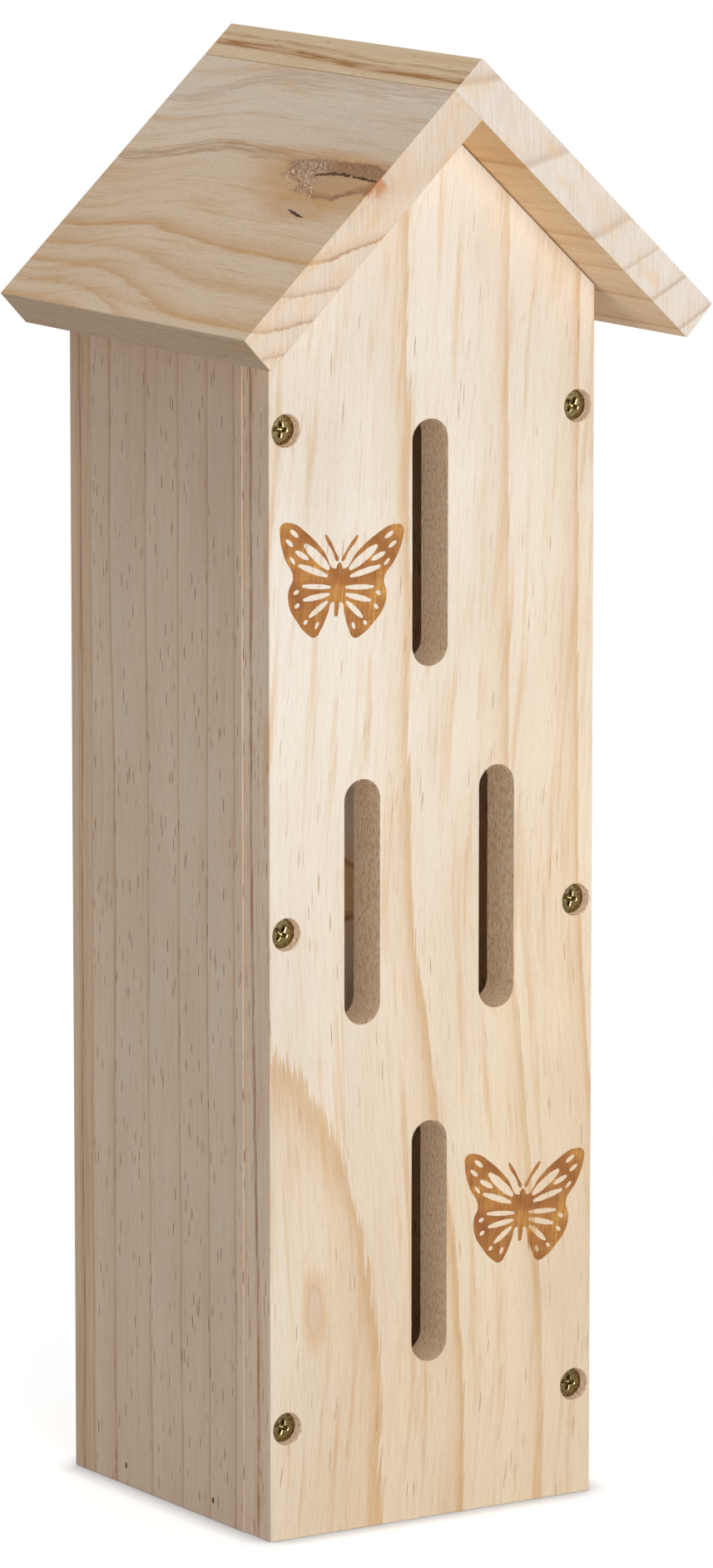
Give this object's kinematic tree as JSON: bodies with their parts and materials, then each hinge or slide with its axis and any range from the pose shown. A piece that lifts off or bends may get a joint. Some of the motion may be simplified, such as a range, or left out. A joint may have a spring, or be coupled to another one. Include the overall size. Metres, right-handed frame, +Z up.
{
  "type": "butterfly house",
  "caption": "Tall narrow wooden butterfly house with upright entry slots in a screwed-on removable front, under a pitched roof, with a keyhole in the back for hanging.",
  "frame": {"origin": "middle of the overall footprint, on the surface that the house stands on", "axes": "+X to the right seen from the front, +Y to the back, +Z up; the front faces -Y"},
  "size_m": [0.1426, 0.12, 0.3847],
  "materials": {
    "pine_front": "bare planed pine",
    "pine_back": "bare planed pine",
    "pine_side": "bare planed pine",
    "pine_floor": "bare planed pine",
    "pine_roof": "bare planed pine",
    "yellow_zinc_steel": "bright yellow zinc plate",
    "nail_steel": "dull dark wire"
  },
  "bodies": {
    "house": {"back_panel": "pine_back", "left_side": "pine_side", "right_side": "pine_side", "floor_board": "pine_floor", "left_roof": "pine_roof", "right_roof": "pine_roof", "floor_nail_left_front": "nail_steel", "floor_nail_left_back": "nail_steel", "floor_nail_right_front": "nail_steel", "floor_nail_right_back": "nail_steel", "back_nail_lower_left": "nail_steel", "back_nail_lower_right": "nail_steel", "back_nail_middle_left": "nail_steel", "back_nail_middle_right": "nail_steel", "back_nail_upper_left": "nail_steel", "back_nail_upper_right": "nail_steel", "ridge_nail_front": "nail_steel", "ridge_nail_middle": "nail_steel", "ridge_nail_back": "nail_steel"},
    "front": {"front_panel": "pine_front", "screw_lower_left": "yellow_zinc_steel", "screw_lower_right": "yellow_zinc_steel", "screw_middle_left": "yellow_zinc_steel", "screw_middle_right": "yellow_zinc_steel", "screw_upper_left": "yellow_zinc_steel", "screw_upper_right": "yellow_zinc_steel"}
  },
  "joints": [
    {"name": "front_pull", "type": "slide", "parent": "house", "child": "front", "axis": [0, -1, 0], "range_m": [0, 0.1]}
  ]
}
